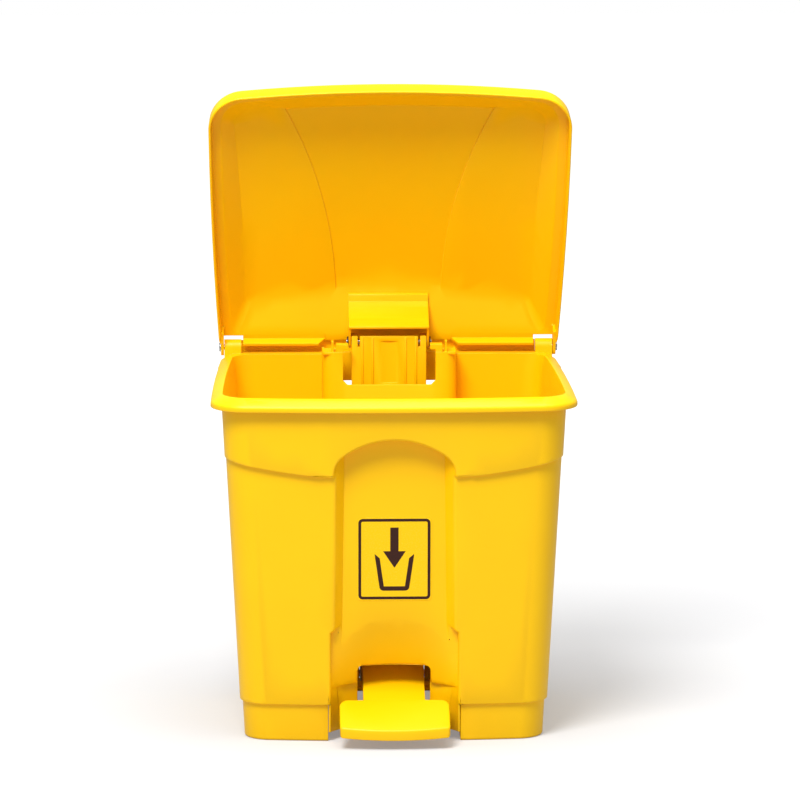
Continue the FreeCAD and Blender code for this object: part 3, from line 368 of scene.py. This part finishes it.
pedal = welded_copy("pedal_lever", "foot_pedal")
round_corners(pedal, TREAD_ROUND, segments=4, chosen=at_tread)
round_corners(pedal, LEVER_ROUND, segments=2, chosen=lambda at: not at_tread(at))
finish_piece(pedal, "pedal_lever", yellow_plastic)

# === Pins, clips, screws and bushes ===========================================================
# Bright drawn steel pins held by black sprung clips, zinc-plated pan-head screws, and two
# natural nylon bushes on the pedal's axle.
GLOSS_SPREAD = 0.08              # how far the roughness strays either way


def metal(name, pale, dark, roughness, grain, streak):
    """Bare or plated metal; a streak above 1 draws its grain out along X, as in drawn stock."""
    material, tree, place = new_material(name)
    along = add_node(tree, "ShaderNodeMapping", {}, {"Vector": place, "Scale": (1 / streak, 1, 1)})
    lines = add_node(tree, "ShaderNodeTexNoise", {}, {
        "Vector": along.outputs[0], "Scale": 1 / grain, "Detail": 4.0})
    tint = add_node(tree, "ShaderNodeMix", {"data_type": "RGBA"}, {
        0: lines.outputs["Fac"], 6: linear(dark), 7: linear(pale)})
    gloss = add_node(tree, "ShaderNodeMapRange", {}, {
        "Value": lines.outputs["Fac"], "From Min": 0.3, "From Max": 0.7,
        "To Min": roughness - GLOSS_SPREAD, "To Max": roughness + GLOSS_SPREAD})
    surface = add_node(tree, "ShaderNodeBsdfPrincipled", {}, {
        "Base Color": tint.outputs[2], "Roughness": gloss.outputs[0], "Metallic": 1.0})
    add_node(tree, "ShaderNodeOutputMaterial", {}, {"Surface": surface.outputs["BSDF"]})
    return material


# Drawn steel: fine lines along the pin, a clear grey shine.
drawn_steel = metal("drawn_steel_bright", "C8C9CA", "A9ABAD",
                    roughness=0.28, grain=0.8 * MM, streak=12)
# Phosphated spring steel: nearly black, dull.
spring_steel = metal("spring_steel_phosphated", "3A3B3D", "242527",
                     roughness=0.5, grain=1.0 * MM, streak=1)
# Zinc plate: pale, faintly mottled, with a bright shine.
zinc_plate = metal("zinc_plated_steel", "D4D6D8", "B9BDC2",
                   roughness=0.32, grain=2.0 * MM, streak=1)
# Natural nylon: milky and waxy.
nylon = satin_moulding("nylon_natural_turned", "EFE9DA", "E6DFCC", roughness=0.4)

# A clip's name also holds the word pin, so the clips are looked for first.
finishes = {"clip": spring_steel, "bush": nylon, "screws": zinc_plate, "pin": drawn_steel,
            "axle": drawn_steel}
for name, node in frame["nodes"].items():
    if node.hide_render or name == "label":
        continue
    words = name.split("_")
    kind = next(word for word in finishes if word in words)
    node.material_slots[0].material = finishes[kind]

# === Studio ===================================================================================
# A white paper floor in a white room, with a large softbox high in front and one overhead.
# The camera looks at the front from a little above, through a long lens.
ROOM_LIGHT = 0.42                # what the room gives the object
ROOM_SEEN = 1.0                  # what the camera sees of the room
FLOOR_SIZE = 14                  # metres
scene = bpy.context.scene
scene.view_settings.view_transform = "Standard"


def softbox(name, place, aim, size, watts):
    lamp = bpy.data.lights.new(name, "AREA")
    lamp.shape = "DISK"
    lamp.size = size
    lamp.energy = watts
    light = bpy.data.objects.new(name, lamp)
    light.location = place
    light.rotation_euler = (Vector(aim) - Vector(place)).to_track_quat("-Z", "Y").to_euler()
    scene.collection.objects.link(light)


softbox("front_softbox", place=(-0.8, -1.9, 3.1), aim=(0, 0, 0.35), size=1.4, watts=118)
softbox("overhead_softbox", place=(0.1, -0.3, 3.0), aim=(0, 0, 0), size=1.8, watts=52)

world = bpy.data.worlds.new("white_room")
scene.world = world
world.use_nodes = True
tree = world.node_tree
tree.nodes.clear()
room = add_node(tree, "ShaderNodeBackground", {}, {"Color": (1, 1, 1, 1), "Strength": ROOM_LIGHT})
seen = add_node(tree, "ShaderNodeBackground", {}, {"Color": (1, 1, 1, 1), "Strength": ROOM_SEEN})
path = add_node(tree, "ShaderNodeLightPath", {}, {})
both = add_node(tree, "ShaderNodeMixShader", {}, {
    0: path.outputs["Is Camera Ray"], 1: room.outputs[0], 2: seen.outputs[0]})
add_node(tree, "ShaderNodeOutputWorld", {}, {"Surface": both.outputs[0]})

bpy.ops.object.select_all(action="DESELECT")
bpy.ops.mesh.primitive_plane_add(size=FLOOR_SIZE)
floor = bpy.context.object
floor.name = "floor"
# Matt paper with the faintest mottle, lifted to white where it is seen by a painted glow, as an
# overlit sweep is, and less so near the bin, so that its soft shadow shows.
MOTTLES = 6.0                    # to the metre
GLOW_NEAR = 0.24
GLOW_FAR = 0.8
GLOW_REACH = (0.35, 2.2)         # metres from the middle of the bin
paper, tree, place = new_material("seamless_paper_white_painted_glow")
mottle = add_node(tree, "ShaderNodeTexNoise", {}, {"Vector": place, "Scale": MOTTLES})
white = add_node(tree, "ShaderNodeMix", {"data_type": "RGBA"}, {
    0: mottle.outputs["Fac"], 6: linear("BABABC"), 7: linear("BEBEBE")})
seen_first = add_node(tree, "ShaderNodeLightPath", {}, {})
away = add_node(tree, "ShaderNodeVectorMath", {"operation": "LENGTH"}, {0: place})
painted_lift = add_node(tree, "ShaderNodeMapRange", {}, {
    "Value": away.outputs["Value"], "From Min": GLOW_REACH[0], "From Max": GLOW_REACH[1],
    "To Min": GLOW_NEAR, "To Max": GLOW_FAR})
# Painted light: the paper glows for the camera only, growing from GLOW_NEAR beside the bin to
# GLOW_FAR away from it.
painted_glow = add_node(tree, "ShaderNodeMath", {"operation": "MULTIPLY"}, {
    0: seen_first.outputs["Is Camera Ray"], 1: painted_lift.outputs[0]})
sheet = add_node(tree, "ShaderNodeBsdfPrincipled", {}, {
    "Base Color": white.outputs[2], "Roughness": 0.95, "Specular IOR Level": 0.0,
    "Emission Color": (1, 1, 1, 1), "Emission Strength": painted_glow.outputs[0]})
add_node(tree, "ShaderNodeOutputMaterial", {}, {"Surface": sheet.outputs["BSDF"]})
floor.data.materials.append(paper)

AZIMUTH = math.radians(-1.34)
ELEVATION = math.radians(9.6)
DISTANCE = 7.5                   # metres
LENS = 300.7                     # millimetres
MIDDLE = Vector((0, 0, 0.383))
AIM_RIGHT = 0.0097
AIM_DOWN = 0.0227
back = Vector((math.sin(AZIMUTH) * math.cos(ELEVATION), -math.cos(AZIMUTH) * math.cos(ELEVATION),
               math.sin(ELEVATION)))
right = (-back).cross(Vector((0, 0, 1))).normalized()
up = right.cross(-back)
camera = bpy.data.objects.new("camera", bpy.data.cameras.new("camera"))
scene.collection.objects.link(camera)
scene.camera = camera
camera.location = MIDDLE + back * DISTANCE
look = MIDDLE + right * AIM_RIGHT - up * AIM_DOWN - camera.location
camera.rotation_euler = look.to_track_quat("-Z", "Y").to_euler()
camera.data.lens = LENS
camera.data.clip_end = 100
